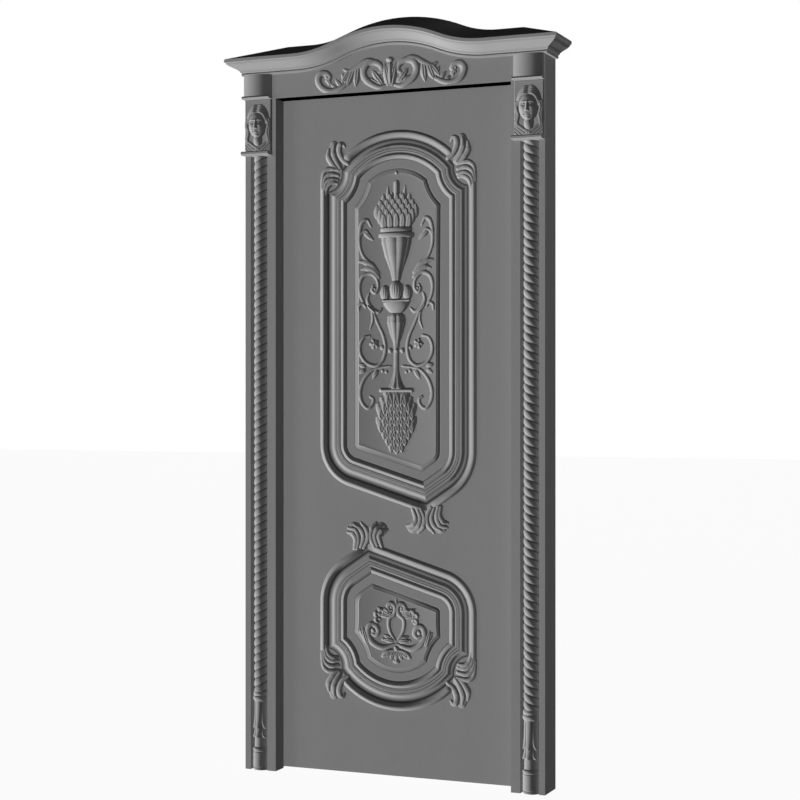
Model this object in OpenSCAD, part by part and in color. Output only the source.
// Carved panel door in its frame: rope columns, mascaron heads, frieze and serpentine cornice.
// +Z is up, the carved face looks along -Y, and the origin is on the floor under the middle.

/* [Opening] */
// Clear width between the posts
open_w = 776; // [720:2:860]
// Clear height under the lintel
open_h = 2100; // [2060:2:2200]

/* [Frame] */
// Width of one post
post_w = 106; // [100:1:130]
// Depth of the frame from front to back
frame_d = 100; // [100:1:120]
// Depth of the rebate that the leaf closes against
rebate = 10; // [8:1:14]
// Height of the frieze between lintel edge and crown
frieze_h = 76; // [72:1:90]

/* [Columns] */
// Radius of the rope column over its strands
rope_r = 24.5; // [22:0.5:25]
// Number of strands along the column
strands = 66; // [50:1:70]
// Slant of the strands in degrees
strand_tilt = 24; // [15:1:26]
// Height of the turned base
base_h = 245; // [220:5:280]

/* [Cornice] */
// Height of the crown moulding
crown_h = 46; // [40:1:54]
// Projection of the crown moulding
crown_p = 50; // [40:1:60]
// Rise of the cornice at the middle
crown_rise = 62; // [40:1:70]
// Half of the width over which the cornice rises
rise_half = 310; // [280:5:340]
// Rise of the weathered cap from front to back
cap_rise = 58; // [40:1:70]

/* [Leaf] */
// Thickness of the leaf
leaf_t = 42; // [38:1:44]
// Gap around the leaf
leaf_gap = 3; // [2.5:0.5:4]
// Gap under the leaf
floor_gap = 6; // [4:1:10]

/* [Panels] */
// Half width of a panel inside its moulding
panel_half = 186; // [176:1:200]
// Width of the panel moulding
mould_w = 74; // [66:1:78]
// Gap from the lintel down to the upper arch, inside the moulding
arch_gap = 186; // [180:1:210]
// Height of the lower arch, inside the moulding
lower_apex = 280; // [270:1:300]
// Length of the lower panel from arch to point
lower_drop = 363; // [340:1:380]
// Height between the points of the two panels
panel_gap = 250; // [230:1:270]

/* [Hinges] */
// Height of one hinge
hinge_h = 100; // [90:3:120]
// Radius of the knuckle
knuckle_r = 6; // [5.5:0.1:6.4]
// Radius of the pin
pin_r = 3.5; // [3:0.1:3.8]

/* [Hidden] */
$fn = 64;
eps = 0.01;
big = 4000;
paint = [0.46, 0.46, 0.46];
iron = [0.30, 0.30, 0.31];

// Frame depth: the front plane of the posts lies so that the whole is centred on the origin
knuckle_gap = 0.5;
hinge_y_rel = frame_d + knuckle_gap + knuckle_r;
rear_rel = hinge_y_rel + knuckle_r;
face_y = crown_p - (crown_p + rear_rel) / 2;
back_y = face_y + frame_d;
hinge_y = face_y + hinge_y_rel;
leaf_rest = 1;
rear_set = 2;
reveal_d = frame_d - leaf_t - leaf_rest - rear_set;
leaf_y = face_y + reveal_d + leaf_rest;
leaf_back = leaf_y + leaf_t;

// Widths and heights
open_half = open_w / 2;
outer_half = open_half + post_w;
rebate_half = open_half + rebate;
leaf_half = rebate_half - leaf_gap;
leaf_top = open_h + rebate - leaf_gap;
crown_z = open_h + frieze_h;
post_h = crown_z + crown_h;
hinge_x = -(rebate_half + leaf_half) / 2;

// Column place
column_x = open_half + post_w * 0.55;
column_y = face_y + 20;
channel_half = 29;
channel_d = 50;
head_h = 164;
head_z = open_h - head_h;
neck_h = 12;
channel_top = head_z - neck_h;
cap_z = open_h + 9;

// Serpentine of the cornice: equal arcs, hollow at the ends and round in the middle
half_run = rise_half / 2;
half_rise = crown_rise / 2;
serp_r = (half_run * half_run + half_rise * half_rise) / (2 * half_rise);
serp_a = asin(half_run / serp_r);

// Upper panel: from the lintel down to the height left by the lower one
upper_apex = open_h - arch_gap;
upper_drop = upper_apex - lower_apex - lower_drop - panel_gap;

// Panel outline: arch, hollow notches, and a point off the middle
arch_half = 141;
arch_sag = 62;
arch_r = (arch_half * arch_half + arch_sag * arch_sag) / (2 * arch_sag);
notch_drop = 74;
notch_r = 100;
point_x = 89;
slope_a = 17;
short_a = 34;
corner_r = 60;
short_r = 85;
notch_w = 46;
fit = 0.4;
butt = 0.02;
margin_t = 4;
field_t = 9;
field_in = 46;

// Hinge details
hinge_end = 250;
hinge_low = floor_gap + hinge_end;
hinge_high = leaf_top - hinge_end;
hinge_zs = [hinge_low, (hinge_low + hinge_high) / 2, hinge_high];
plate_t = 2;
plate_front = leaf_back - 26;
plate_back = leaf_back - 1;
tab_back = hinge_y - 4.8;
pin_clear = 0.05;
screw_r = 2;
screw_clear = 0.1;
screw_len = 24;
screw_head_r = 3.8;
screw_pitch = 32;
screw_y = plate_front + 10;

// Points along an arc whose radius changes evenly from r0 to r1
function spiral(c, r0, r1, a0, a1, n) =
    [for (i = [0:n]) let (t = i / n, a = a0 + (a1 - a0) * t, r = r0 + (r1 - r0) * t)
        [c[0] + r * cos(a), c[1] + r * sin(a)]];
function arc(c, r, a0, a1, n) = spiral(c, r, r, a0, a1, n);
function flip(path) = [for (p = path) [-p[0], p[1]]];
function heading(path, i) =
    let (a = path[max(i - 1, 0)], b = path[min(i + 1, len(path) - 1)])
        atan2(b[1] - a[1], b[0] - a[0]);

// Carvings are drawn flat, x right and y up, and rise along z: this stands them up, facing -Y
module stand(y) {
    translate([0, y, 0]) rotate([90, 0, 0]) children();
}

// Mirror copy for the other side
module both_sides() {
    children();
    mirror([1, 0, 0]) children();
}

// Half space on the side of a line through p that the angle points to
module keep(p, a) {
    translate([p[0], p[1], 0]) rotate(a) translate([0, -big / 2, -big / 2]) cube(big);
}

// Straight length of a profile [u, h]: from p, u along the normal at angle a, running along t
module straight(p, a, len, profile) {
    n = [cos(a), sin(a)];
    m = [[n[0], 0, n[1], p[0]], [n[1], 0, -n[0], p[1]], [0, 1, 0, 0], [0, 0, 0, 1]];
    multmatrix(m) linear_extrude(len) polygon(profile);
}

// Curved length of a profile around c, from angle a0 through da; side 1 is outside the curve
module curved(c, r, a0, da, profile, side) {
    translate([c[0], c[1], 0]) rotate(a0) rotate_extrude(angle = da, $fn = 180)
        polygon([for (q = profile) [r + side * q[0], q[1]]]);
}

// Convex block between two rings of four points
module block(ring0, ring1) {
    hull() polyhedron(points = concat(ring0, ring1), faces = [
        [0, 1, 2, 3], [7, 6, 5, 4], [0, 4, 5, 1], [1, 5, 6, 2], [2, 6, 7, 3], [3, 7, 4, 0]]);
}

// Cross-section of a carved strip at p, heading at angle a
function ring(p, a, w, h) =
    [for (q = [[-w / 2, 0], [-w / 5, h], [w / 5, h], [w / 2, 0]])
        [p[0] - q[0] * sin(a), p[1] + q[0] * cos(a), q[1]]];

// Carved strip along a path, tapering from w0, h0 to w1, h1
module strip(path, w0, w1, h0, h1) {
    n = len(path) - 1;
    rings = [for (i = [0:n]) let (t = i / n)
        ring(path[i], heading(path, i), w0 + (w1 - w0) * t, h0 + (h1 - h0) * t)];
    for (i = [0:n - 1]) block(rings[i], rings[i + 1]);
}

// Pointed leaf scale lying on the ground, from its root towards its tip
module scale_leaf(p, a, l, w, h) {
    translate([p[0], p[1], 0]) rotate(a) block(
        [[0, -w * 0.4, 0], [0, w * 0.4, 0], [l * 0.45, w / 2, 0], [l * 0.45, -w / 2, 0]],
        [[0, 0, h * 0.7], [l * 0.4, 0, h], [l, 0, h * 0.3], [l, 0, 0]]);
}

// Domed boss
module boss(p, r, h) {
    translate([p[0], p[1], 0]) {
        cylinder(h = h * 0.6, r1 = r, r2 = r * 0.8, $fn = 8);
        translate([0, 0, h * 0.6]) cylinder(h = h * 0.4, r1 = r * 0.8, r2 = r * 0.3, $fn = 8);
    }
}

// Frame timbers

module post() {
    difference() {
        translate([open_half, face_y, 0]) cube([post_w, frame_d, post_h]);
        translate([open_half - eps, face_y + reveal_d, -eps])
            cube([rebate + eps, frame_d, open_h + rebate + eps]);
        translate([column_x - channel_half, face_y - eps, -eps])
            cube([2 * channel_half, channel_d + eps, channel_top + eps]);
    }
}

module right_post() {
    color(paint) post();
}

module left_post() {
    color(paint) difference() {
        mirror([1, 0, 0]) post();
        for (z = hinge_zs) {
            translate([-rebate_half - plate_t, plate_front, z - hinge_h / 2])
                cube([plate_t + eps, big, hinge_h]);
            for (s = [-1, 0, 1])
                translate([-rebate_half - screw_len, screw_y, z + s * screw_pitch])
                    rotate([0, 90, 0]) cylinder(h = screw_len, r = screw_r + screw_clear);
        }
    }
}

// Serpentine line of the cornice at height u above its lower edge
function serpentine(u, n) = concat(
    arc([-rise_half, crown_z + serp_r], serp_r - u, -90, -90 + serp_a, n),
    arc([0, crown_z + crown_rise - serp_r], serp_r + u, 90 + serp_a, 90 - serp_a, 2 * n),
    arc([rise_half, crown_z + serp_r], serp_r - u, -90 - serp_a, -90, n));

module lintel() {
    top = crown_h - fit;
    outline = concat([[-open_half, open_h], [-open_half, crown_z + top]], serpentine(top, 10),
        [[open_half, crown_z + top], [open_half, open_h]]);
    color(paint) difference() {
        stand(face_y + frame_d) linear_extrude(frame_d) polygon(outline);
        translate([-open_w, face_y + reveal_d, open_h - eps])
            cube([2 * open_w, frame_d, rebate + eps]);
    }
}

// Columns

module at_column(side) {
    translate([side * column_x, column_y, 0]) children();
}

module turned_base() {
    drum_r = 27;
    rotate_extrude() polygon([
        [0, 0], [drum_r, 0], [drum_r, 25], [drum_r - 3, 27], [drum_r - 3, 80],
        [drum_r, 82], [drum_r, 88], [19, 94], [17, 120], [24, base_h - 40], [22, base_h - 31],
        [26, base_h - 25], [26, base_h - 17], [22, base_h - 13], [25, base_h - 9],
        [25, base_h], [0, base_h]]);
}

module carved_base() {
    rows = [[112, 0, 21], [156, 18, 22]];
    color(paint) union() {
        turned_base();
        for (row = rows, k = [-3:3])
            rotate(-90 + k * 36 + row[1]) translate([row[2] - 6, 0, row[0]]) sphere(9.5, $fn = 32);
    }
}

module left_base() {
    at_column(-1) carved_base();
}

module right_base() {
    at_column(1) carved_base();
}

// Rope column: slanted barrel discs, each lying on the one below
module rope_column(slant) {
    length = channel_top - base_h;
    pitch = length / strands;
    overlap = 0.4;
    disc_t = pitch * cos(slant) + overlap;
    flat_r = rope_r * 0.72;
    reach = rope_r * 0.98;
    color(paint) intersection() {
        translate([0, 0, base_h]) cylinder(h = length, r = rope_r + 1);
        union() for (i = [-1:strands])
            translate([0, 0, base_h + (i + 0.5) * pitch]) rotate([0, slant, 0])
                rotate_extrude() polygon([
                    [0, -disc_t / 2], [flat_r, -disc_t / 2], [reach, -disc_t * 0.22],
                    [reach, disc_t * 0.22], [flat_r, disc_t / 2], [0, disc_t / 2]]);
    }
}

module left_rope() {
    at_column(-1) rope_column(-strand_tilt);
}

module right_rope() {
    at_column(1) rope_column(strand_tilt);
}

// Blocks above the columns, planted on the posts

neck_p = [[0, 0], [0, 30], [3, 34], [9, 34], [neck_h, 30], [neck_h, 0]];
cap_neck_p = [[0, 0], [0, 26], [4, 30], [9, 26], [9, 0]];

module neckings(side) {
    color(paint) stand(face_y) {
        straight([side * column_x - post_w / 2 + 6, channel_top], 90, post_w - 12, neck_p);
        straight([side * column_x - post_w / 2 + 6, open_h], 90, post_w - 12, cap_neck_p);
    }
}

module left_necking() {
    neckings(-1);
}

module right_necking() {
    neckings(1);
}

// Bowed block under the crown
module cap_block(side) {
    bow_r = 95;
    bow_h = 26;
    width = post_w - 14;
    color(paint) translate([side * column_x, face_y, cap_z]) intersection() {
        translate([-width / 2, -bow_h, 0]) cube([width, bow_h, crown_z - cap_z]);
        translate([0, bow_r - bow_h, 0]) cylinder(h = big, r = bow_r, $fn = 128);
    }
}

module left_cap() {
    cap_block(-1);
}

module right_cap() {
    cap_block(1);
}

// Calm generic mascaron with swept hair, side locks and a draped collar, on a block
module mascaron() {
    block_h = open_h - head_z;
    block_w = post_w - 14;
    face_w = 27;
    face_h = 38;
    mid = block_h * 0.56;
    translate([-block_w / 2, 0, 0]) cube([block_w, block_h, 8]);
    translate([0, mid, 6]) scale([face_w, face_h, 30]) sphere(1, $fn = 18);
    hull() {
        translate([-2.5, mid + 8, 33]) sphere(2, $fn = 8);
        translate([2.5, mid + 8, 33]) sphere(2, $fn = 8);
        translate([-5, mid - 9, 35]) sphere(2, $fn = 8);
        translate([5, mid - 9, 35]) sphere(2, $fn = 8);
    }
    hull() both_sides() translate([6, mid - 20, 30]) sphere(3, $fn = 8);
    both_sides() {
        strip(spiral([0, mid + 4], 34, 31, 100, 4, 6), 20, 16, 30, 22);
        strip(spiral([0, mid + 12], 40, 36, 96, 20, 5), 16, 12, 20, 16);
        strip([[30, mid], [33, mid - 24], [30, mid - 46], [22, mid - 62]], 17, 12, 26, 16);
        strip([[36, mid + 26], [41, mid], [40, mid - 34]], 12, 8, 18, 10);
        strip([[40, 20], [24, 8], [0, 4]], 14, 12, 16, 20);
        strip([[30, 34], [14, 20], [0, 15]], 12, 10, 16, 20);
        translate([9, mid + 5, 29]) sphere(4, $fn = 8);
    }
    hull() {
        translate([0, 34, 4]) scale([16, 10, 18]) sphere(1, $fn = 12);
        translate([0, 14, 4]) scale([24, 10, 14]) sphere(1, $fn = 12);
    }
}

module head_block(side) {
    color(paint) translate([side * column_x, 0, head_z]) stand(face_y) intersection() {
        mascaron();
        translate([-post_w, 0, 0]) cube([2 * post_w, open_h - head_z, big]);
    }
}

module left_head() {
    head_block(-1);
}

module right_head() {
    head_block(1);
}

// Acanthus crest on the frieze: a bud, two leafy scrolls and a volute at each end
module frieze_crest() {
    mid_z = open_h + frieze_h / 2 + 17;
    scroll = [[24, -34], [52, -36], [80, -18], [88, 4], [76, 28], [50, 33], [30, 20]];
    spine = [[50, 33], [80, 36], [110, 20], [134, 8], [152, 13]];
    volute = [
        [150, -28], [178, -46], [206, -49], [231, -36], [240, -14], [230, 2], [213, 3],
        [203, -7], [212, -17]];
    color(paint) stand(face_y) translate([0, mid_z, 0]) scale([open_w / 776, frieze_h / 76, 1]) {
        scale_leaf([0, -38], 90, 72, 30, 19);
        boss([0, 38], 11, 14);
        both_sides() {
            strip(scroll, 11, 9, 12, 12);
            strip(spine, 12, 8, 13, 9);
            strip(volute, 10, 8, 11, 10);
            scale_leaf([30, -30], 50, 56, 18, 12);
            scale_leaf([96, 24], 262, 52, 18, 12);
            scale_leaf([112, 19], 280, 56, 19, 12);
            scale_leaf([130, 10], 300, 46, 17, 11);
            scale_leaf([150, -30], 60, 30, 11, 9);
        }
    }
}

// Cornice

// Ogee from p to q: hollow first, then round
function ogee(p, q, n) = [for (i = [0:n]) let (t = i / n)
    [p[0] + (q[0] - p[0]) * t, p[1] + (q[1] - p[1]) * (1 - cos(180 * t)) / 2]];
lip_h = 6;
crown_profile = concat(
    [[0, 0], [0, 8], [5, 10], [9, 8]],
    ogee([11, 12], [crown_h - lip_h - 2, crown_p - 4], 6),
    [[crown_h - lip_h, crown_p], [crown_h, crown_p], [crown_h, 0]]);
nose_h = 4;
nose_p = crown_p - 2;
cap_profile = [
    [crown_h, nose_p], [crown_h + nose_h, nose_p], [crown_h + cap_rise, -frame_d],
    [crown_h, -frame_d]];

// Level lengths, butted against the serpentine
module flat_runs(profile) {
    for (side = [0, 1]) mirror([side, 0, 0])
        straight([rise_half + butt, crown_z], 90, outer_half + crown_p - rise_half - butt, profile);
}

module serpentine_run(profile) {
    both_sides() curved([rise_half, crown_z + serp_r], serp_r, -90 - serp_a, serp_a, profile, -1);
    curved([0, crown_z + crown_rise - serp_r], serp_r, 90 - serp_a, 2 * serp_a, profile, 1);
}

// Wedge that leaves the front length of the crown, inside its two mitres
module front_of_mitres() {
    translate([0, face_y, 0]) linear_extrude(big) polygon([
        [-outer_half, 0], [-outer_half - big / 8, -big / 8], [outer_half + big / 8, -big / 8],
        [outer_half, 0]]);
}

module cornice_front() {
    color(paint) intersection() {
        stand(face_y) union() {
            flat_runs(crown_profile);
            serpentine_run(crown_profile);
        }
        front_of_mitres();
    }
}

module cornice_return() {
    difference() {
        translate([outer_half, back_y, crown_z]) rotate([90, 0, 0])
            linear_extrude(frame_d + crown_p) polygon([for (q = crown_profile) [q[1], q[0]]]);
        front_of_mitres();
    }
}

module cornice_left_return() {
    color(paint) mirror([1, 0, 0]) cornice_return();
}

module cornice_right_return() {
    color(paint) cornice_return();
}

// Slanted cut that hips one end of the cap
module hip_cut() {
    rise = cap_rise - nose_h;
    run = frame_d + nose_p;
    end = outer_half + crown_p;
    past = end - outer_half - nose_p + 1;
    translate([outer_half + nose_p, back_y + 1, post_h + nose_h]) rotate([90, 0, 0])
        linear_extrude(frame_d + crown_p + 2) polygon([
            [past, -past * rise / run], [past, 2 * rise], [-2 * run, 2 * rise]]);
}

// Weathered cap, hipped at its ends
module cornice_cap() {
    color(paint) difference() {
        stand(face_y) union() {
            flat_runs(cap_profile);
            serpentine_run(cap_profile);
        }
        both_sides() hip_cut();
    }
}

// Leaf and its panels

module leaf() {
    color(paint) difference() {
        translate([-leaf_half, leaf_y, floor_gap])
            cube([2 * leaf_half, leaf_t, leaf_top - floor_gap]);
        for (z = hinge_zs) {
            translate([-leaf_half - eps, plate_front, z - hinge_h / 2])
                cube([plate_t + eps, big, hinge_h]);
            for (s = [-1, 0, 1])
                translate([-leaf_half, screw_y, z + s * screw_pitch])
                    rotate([0, 90, 0]) cylinder(h = screw_len, r = screw_r + screw_clear);
        }
    }
}

// Corner places of a panel outline, from the top of its arch down
notch_a = [-panel_half, -arch_sag - notch_drop];
notch_b = [-arch_half, -arch_sag];
notch_mid = (notch_a + notch_b) / 2;
notch_dir = (notch_b - notch_a) / norm(notch_b - notch_a);
notch_back = sqrt(notch_r * notch_r - pow(norm(notch_b - notch_a) / 2, 2));
notch_c = notch_mid + notch_back * [-notch_dir[1], notch_dir[0]];
function angle_of(v) = let (a = atan2(v[1], v[0])) a < 0 ? a + 360 : a;
arch_c = [0, -arch_r];
arch_end = angle_of(notch_b - arch_c);
mitre_a = (180 + angle_of(notch_c - notch_a)) / 2;
mitre_b = (arch_end + angle_of(notch_c - notch_b)) / 2;
long_n = 270 - slope_a;
short_n = 270 + short_a;
mitre_p = (long_n + short_n) / 2;

function point_of(drop) = [point_x, -drop];
function long_len() =
    (point_x + panel_half - corner_r - corner_r * cos(long_n)) / cos(slope_a);
function long_c(drop) =
    [-panel_half + corner_r, -drop + long_len() * sin(slope_a) - corner_r * sin(long_n)];
function short_len() =
    (panel_half - short_r + short_r * cos(short_n) - point_x) / cos(short_a);
function short_c(drop) =
    [panel_half - short_r, -drop + short_len() * sin(short_a) - short_r * sin(short_n)];

// Closed outline of a panel, set in by d from the moulding's inner edge
function mitred(p, a0, a1, d) =
    let (m = (a0 + a1) / 2) p - d / cos((a0 - a1) / 2) * [cos(m), sin(m)];
function panel_outline(drop, d) =
    let (
        a = mitred(notch_a, 180, angle_of(notch_c - notch_a), d),
        b = mitred(notch_b, arch_end, angle_of(notch_c - notch_b), d),
        wrapped = spiral(notch_c, norm(a - notch_c), norm(b - notch_c),
            angle_of(a - notch_c) - 360, angle_of(b - notch_c) - 360, 6),
        top = arc(arch_c, arch_r - d, angle_of(b - arch_c), 180 - angle_of(b - arch_c), 20),
        right = flip(wrapped))
    concat(
        arc(long_c(drop), corner_r - d, 180, long_n, 10),
        [mitred(point_of(drop), long_n, short_n, d)],
        arc(short_c(drop), short_r - d, short_n, 360, 10),
        right, [for (i = [1:19]) top[20 - i]],
        [for (i = [0:6]) wrapped[6 - i]]);

module panel(drop) {
    linear_extrude(margin_t) polygon(panel_outline(drop, fit));
    linear_extrude(field_t) polygon(panel_outline(drop, field_in));
}

// Profile of the panel moulding, from its inner lip out to the bead
run_profile = [
    [0, 0], [0, 9], [3, 13], [8, 13], [10, 9], [26, 8], [34, 7], [mould_w - 30, 3],
    [mould_w - 22, 2], [mould_w - 18, 6], [mould_w - 12, 12], [mould_w - 8, 13],
    [mould_w - 4, 11], [mould_w, 5], [mould_w, 0]];
notch_profile = [
    [0, 0], [0, 9], [3, 13], [8, 13], [10, 9], [26, 8], [34, 7], [notch_w, 3], [notch_w, 0]];

module moulding_arch() {
    intersection() {
        curved(arch_c, arch_r, 150 - arch_end, 2 * arch_end - 120, run_profile, 1);
        keep(notch_b, mitre_b - 90);
        mirror([1, 0, 0]) keep(notch_b, mitre_b - 90);
    }
}

module moulding_notch() {
    a0 = angle_of(notch_a - notch_c);
    a1 = angle_of(notch_b - notch_c);
    intersection() {
        curved(notch_c, notch_r, a0 - 35, a1 - a0 + 70, notch_profile, -1);
        keep(notch_a, mitre_a - 90);
        keep(notch_b, mitre_b + 90);
    }
}

module moulding_left_run(drop) {
    c = long_c(drop);
    start = [-panel_half, c[1] + butt];
    p = point_of(drop);
    intersection() {
        union() {
            straight(start, 180, notch_a[1] - start[1] + mould_w, run_profile);
            curved(c, corner_r, 180, long_n - 180, run_profile, 1);
            straight(p + mould_w / 2 * [cos(slope_a), -sin(slope_a)], long_n,
                long_len() + mould_w / 2 - butt, run_profile);
        }
        keep(notch_a, mitre_a + 90);
        keep(p, mitre_p - 90);
    }
}

module moulding_right_run(drop) {
    c = short_c(drop);
    p = point_of(drop);
    top = [panel_half, notch_a[1] + mould_w];
    tangent = c + short_r * [cos(short_n), sin(short_n)] + butt * [sin(short_n), -cos(short_n)];
    intersection() {
        union() {
            straight(top, 0, top[1] - c[1] - butt, run_profile);
            curved(c, short_r, short_n, 360 - short_n, run_profile, 1);
            straight(tangent, short_n, short_len() + mould_w / 2, run_profile);
        }
        mirror([1, 0, 0]) keep(notch_a, mitre_a + 90);
        keep(p, mitre_p + 90);
    }
}

// Acanthus spray: one tapering lobe along each path
module spray(paths, w) {
    for (path = paths) strip(path, w, w * 0.6, 13, 8);
}

// Sprays in the hollow of a notch: hooks over the end of the run, fingers past the end of the arch
hook_c = notch_a + [-17, 36];
arch_tip = notch_b + mould_w / cos(mitre_b - arch_end) * [cos(mitre_b), sin(mitre_b)];
function hook(k) = [for (a = [165:-12:105]) hook_c + k * [56 * cos(a), 76 * sin(a)]];
function moved(path, p) = [for (q = path) q + p];

module notch_curls() {
    fingers = [
        [[19, 38], [14, 56], [18, 74], [28, 76]],
        [[0, 12], [-5, 34], [-7, 56], [-2, 74]],
        [[-9, 9], [-21, 22], [-27, 40], [-26, 58]]];
    spray([hook(1), hook(0.78), hook(0.56)], 13);
    spray([for (f = fingers) moved(f, arch_tip)], 14);
}

// Pair of sprays below the point of the outline
module point_curls(drop) {
    lobes = [
        [[-28, -10], [-26, -24], [-36, -36], [-56, -38]],
        [[-14, -16], [-11, -32], [-20, -48], [-38, -58]],
        [[-3, -24], [-3, -42], [-9, -56], [-22, -68]]];
    tip = point_of(drop) - [0, mould_w];
    spray([for (l = lobes) moved(l, tip)], 12);
    spray([for (l = lobes) moved(flip(l), tip)], 12);
}

module upper_place() {
    color(paint) translate([0, 0, upper_apex]) stand(leaf_y) children();
}

module lower_place() {
    color(paint) translate([0, 0, lower_apex]) stand(leaf_y) rotate(180) children();
}

module upper_panel() {
    upper_place() panel(upper_drop);
}

module lower_panel() {
    lower_place() panel(lower_drop);
}

module upper_arch() {
    upper_place() moulding_arch();
}

module upper_left_notch() {
    upper_place() moulding_notch();
}

module upper_right_notch() {
    upper_place() mirror([1, 0, 0]) moulding_notch();
}

module upper_left_run() {
    upper_place() moulding_left_run(upper_drop);
}

module upper_right_run() {
    upper_place() moulding_right_run(upper_drop);
}

module lower_arch() {
    lower_place() moulding_arch();
}

module lower_left_notch() {
    lower_place() mirror([1, 0, 0]) moulding_notch();
}

module lower_right_notch() {
    lower_place() moulding_notch();
}

module lower_left_run() {
    lower_place() moulding_right_run(lower_drop);
}

module lower_right_run() {
    lower_place() moulding_left_run(lower_drop);
}

module upper_left_curls() {
    upper_place() notch_curls();
}

module upper_right_curls() {
    upper_place() mirror([1, 0, 0]) notch_curls();
}

module upper_point_curls() {
    upper_place() point_curls(upper_drop);
}

module lower_left_curls() {
    lower_place() mirror([1, 0, 0]) notch_curls();
}

module lower_right_curls() {
    lower_place() notch_curls();
}

module lower_point_curls() {
    lower_place() point_curls(lower_drop);
}

// Carving of the upper panel: a torch over an urn, with strap scrolls; heights from the arch down

torch_profile = [
    [0, -257], [60, -257], [60, -243], [52, -240], [52, -228], [46, -225], [0, -225]];
taper_profile = [[0, -390], [14, -387], [21, -358], [39, -313], [52, -258], [0, -258]];
urn_profile = [
    [0, -730], [54, -730], [54, -719], [28, -717], [14, -690], [9, -657], [10, -582],
    [22, -550], [31, -518], [29, -496], [18, -493], [36, -476], [45, -450], [0, -450]];

// Half round turning, flattened on the panel
module half_turned(profile, flatten) {
    intersection() {
        scale([1, 1, flatten]) rotate([-90, 0, 0]) rotate_extrude($fn = 16)
            polygon([for (q = profile) [q[0], q[1]]]);
        translate([-big / 2, -big, 0]) cube([big, 2 * big, big]);
    }
}

// Straps on one side of the torch
module torch_scrolls() {
    side = [
        [84, -218], [97, -200], [114, -211], [121, -248], [119, -285], [106, -315], [84, -336],
        [60, -366]];
    ring = [
        [62, -392], [74, -372], [90, -365], [112, -376], [121, -402], [118, -432], [106, -458],
        [84, -472], [62, -484]];
    loop = [
        [78, -482], [60, -522], [44, -555], [36, -591], [42, -626], [58, -646], [76, -649],
        [101, -638], [118, -613], [119, -585], [107, -561], [86, -559]];
    foot = [
        [26, -651], [55, -655], [82, -664], [107, -692], [119, -727], [115, -758], [97, -778],
        [80, -767], [76, -750]];
    strip(side, 10, 9, 10, 11);
    strip([[121, -327], [100, -331], [80, -342], [62, -360]], 8, 10, 8, 11);
    strip([[113, -352], [96, -350], [76, -358], [60, -374]], 8, 10, 8, 11);
    strip(ring, 11, 9, 12, 11);
    strip(spiral([70, -411], 16, 10, 130, 330, 6), 8, 7, 11, 9);
    strip(loop, 9, 9, 10, 12);
    strip([[82, -484], [78, -510], [86, -534]], 9, 5, 9, 6);
    strip(foot, 8, 8, 10, 10);
    scale_leaf([102, -240], 222, 34, 14, 10);
    scale_leaf([100, -652], 20, 24, 12, 9);
    boss([72, -583], 13, 13);
}

module upper_carving() {
    flames = [
        [0, 0, 88], [-20, 4, 76], [20, -4, 76], [-38, 9, 100], [38, -9, 100], [-52, 12, 66],
        [52, -12, 66], [-28, 2, 128], [28, -2, 128]];
    cone = [[-732, 50], [-764, 66], [-796, 62], [-826, 48], [-856, 30]];
    fit_z = (upper_drop - 151) / 870;
    upper_place() translate([0, -field_in, field_t]) scale([panel_half / 186, fit_z, 1])
        translate([0, field_in, 0]) {
            half_turned(torch_profile, 0.5);
            half_turned(taper_profile, 0.5);
            half_turned(urn_profile, 0.5);
            boss([0, -58], 5, 8);
            scale_leaf([0, -140], 90, 62, 16, 13);
            for (f = flames)
                scale_leaf([f[0], -227], 90 + f[1], f[2], 26, 20);
            for (k = [-1:1])
                scale_leaf([k * 38, -450], 90, 62 - 12 * abs(k), 38, 24 - 4 * abs(k));
            for (row = cone, k = [-1:0.5:1])
                scale_leaf([k * row[1], row[0]], 270 - k * 4, 46, 30, 20 - 4 * abs(k));
            boss([0, -913], 7, 10);
            boss([0, -603], 7, 16);
            both_sides() {
                torch_scrolls();
                boss([20, -603], 7, 14);
                boss([46, -594], 7, 12);
            }
        }
}

// Carving of the lower panel: a pod, paired scrolls and a palmette; heights from the panel's arch up
module lower_carving() {
    mid = lower_apex + lower_drop * 0.482;
    pod = [
        [2, -34], [20, -8], [25, 18], [22, 36], [10, 46], [5, 60], [8, 74], [18, 79], [27, 70],
        [22, 60]];
    volute = [
        [4, -40], [35, -53], [58, -53], [82, -38], [92, -15], [91, 4], [80, 13], [66, 8],
        [60, -8], [70, -16]];
    color(paint) stand(leaf_y - field_t) translate([0, mid, 0])
        scale([panel_half / 186, lower_drop / 363, 1]) {
            scale_leaf([0, 52], 90, 44, 11, 10);
            boss([0, -57], 9, 12);
            boss([0, -96], 9, 10);
            for (k = [-2:2])
                scale_leaf([k * 7, -62], 270 + k * 24, 34, 14, 10);
            both_sides() {
                strip(pod, 8, 7, 10, 10);
                strip(volute, 9, 8, 12, 10);
                boss([79, -6], 8, 12);
                boss([36, 54], 9, 11);
                boss([63, 46], 9, 10);
                boss([62, 27], 9, 10);
                boss([40, -79], 8, 10);
                scale_leaf([24, 46], 32, 46, 14, 10);
                scale_leaf([97, -42], 72, 50, 14, 11);
                scale_leaf([8, -33], 6, 38, 13, 10);
            }
        }
}

// Butt hinges

module knuckle(z0, z1) {
    translate([hinge_x, hinge_y, z0]) cylinder(h = z1 - z0, r = knuckle_r);
}

module pin_bore(z) {
    translate([hinge_x, hinge_y, z - hinge_h])
        cylinder(h = 2 * hinge_h, r = pin_r + pin_clear);
}

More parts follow.
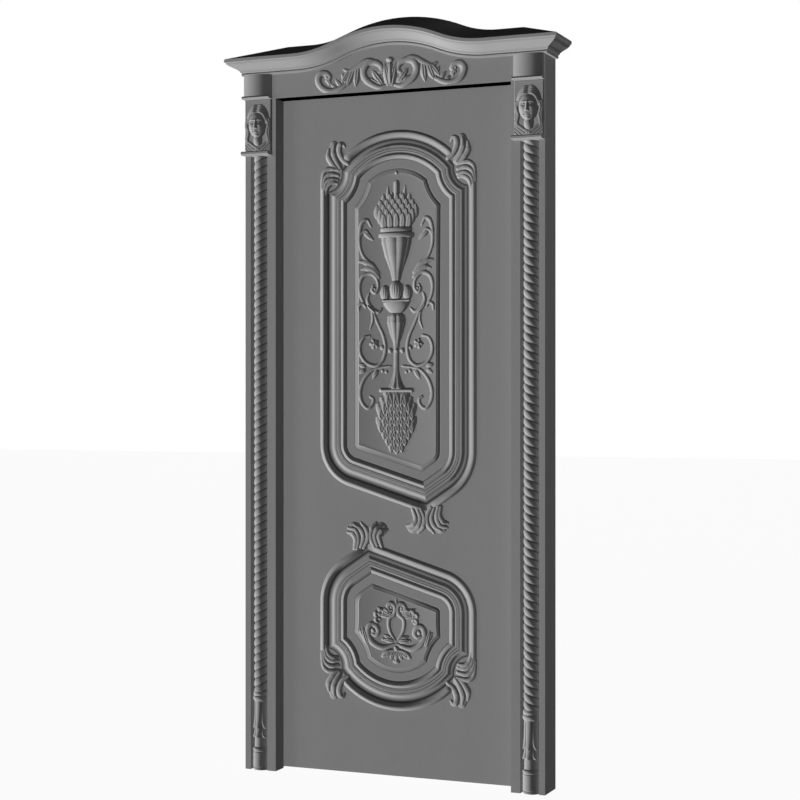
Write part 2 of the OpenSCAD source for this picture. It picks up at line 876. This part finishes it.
// Holes for the countersunk screws of a plate, heads towards dir
module plate_holes(x, dir, z) {
    for (s = [-1, 0, 1])
        translate([x, screw_y, z + s * screw_pitch]) rotate([0, dir * 90, 0]) {
            translate([0, 0, -big / 100]) cylinder(h = big / 50, r = screw_r + screw_clear);
            translate([0, 0, -eps]) cylinder(h = plate_t + 2 * eps,
                r1 = screw_r + screw_clear, r2 = screw_head_r + screw_clear);
        }
}

knuckle_third = hinge_h / 3;
knuckle_play = 0.2;

module frame_plate(z) {
    z0 = z - hinge_h / 2;
    z1 = z + hinge_h / 2;
    color(iron) difference() {
        union() {
            translate([-rebate_half - plate_t, plate_front, z0])
                cube([plate_t, plate_back - plate_front, hinge_h]);
            for (k = [z0, z1 - knuckle_third + knuckle_play]) {
                knuckle(k, k + knuckle_third - knuckle_play);
                translate([-rebate_half - plate_t, plate_back - 1, k])
                    cube([plate_t, tab_back - plate_back + 1, knuckle_third - knuckle_play]);
            }
        }
        pin_bore(z);
        plate_holes(-rebate_half - plate_t, 1, z);
    }
}

module leaf_plate(z) {
    z0 = z - knuckle_third / 2 + knuckle_play;
    height = knuckle_third - 2 * knuckle_play;
    color(iron) difference() {
        union() {
            translate([-leaf_half, plate_front, z - hinge_h / 2])
                cube([plate_t, plate_back - plate_front, hinge_h]);
            knuckle(z0, z0 + height);
            translate([-leaf_half, plate_back - 1, z0])
                cube([plate_t, tab_back - plate_back + 1, height]);
        }
        pin_bore(z);
        plate_holes(-leaf_half + plate_t, -1, z);
    }
}

module hinge_pin(z) {
    head_h = 3;
    color(iron) translate([hinge_x, hinge_y, z - hinge_h / 2]) {
        cylinder(h = hinge_h, r = pin_r);
        for (end = [-head_h, hinge_h])
            translate([0, 0, end]) cylinder(h = head_h, r = knuckle_r);
    }
}

module plate_screw() {
    rotate([0, 90, 0]) {
        translate([0, 0, plate_t - screw_len]) cylinder(h = screw_len - eps, r = screw_r);
        cylinder(h = plate_t, r1 = screw_r, r2 = screw_head_r);
    }
}

module frame_plate_screws() {
    color(iron) for (z = hinge_zs, s = [-1, 0, 1])
        translate([-rebate_half - plate_t, screw_y, z + s * screw_pitch]) plate_screw();
}

module leaf_plate_screws() {
    color(iron) for (z = hinge_zs, s = [-1, 0, 1])
        translate([-leaf_half + plate_t, screw_y, z + s * screw_pitch])
            mirror([1, 0, 0]) plate_screw();
}

left_post();
right_post();
lintel();
left_base();
right_base();
left_rope();
right_rope();
left_necking();
right_necking();
left_head();
right_head();
left_cap();
right_cap();
frieze_crest();
cornice_front();
cornice_left_return();
cornice_right_return();
cornice_cap();
leaf();
upper_panel();
lower_panel();
upper_carving();
lower_carving();
upper_arch();
upper_left_notch();
upper_right_notch();
upper_left_run();
upper_right_run();
lower_arch();
lower_left_notch();
lower_right_notch();
lower_left_run();
lower_right_run();
upper_left_curls();
upper_right_curls();
upper_point_curls();
lower_left_curls();
lower_right_curls();
lower_point_curls();
frame_plate(hinge_zs[2]);  // top_hinge_frame_plate
leaf_plate(hinge_zs[2]);  // top_hinge_leaf_plate
hinge_pin(hinge_zs[2]);  // top_hinge_pin
frame_plate(hinge_zs[1]);  // middle_hinge_frame_plate
leaf_plate(hinge_zs[1]);  // middle_hinge_leaf_plate
hinge_pin(hinge_zs[1]);  // middle_hinge_pin
frame_plate(hinge_zs[0]);  // bottom_hinge_frame_plate
leaf_plate(hinge_zs[0]);  // bottom_hinge_leaf_plate
hinge_pin(hinge_zs[0]);  // bottom_hinge_pin
frame_plate_screws();
leaf_plate_screws();
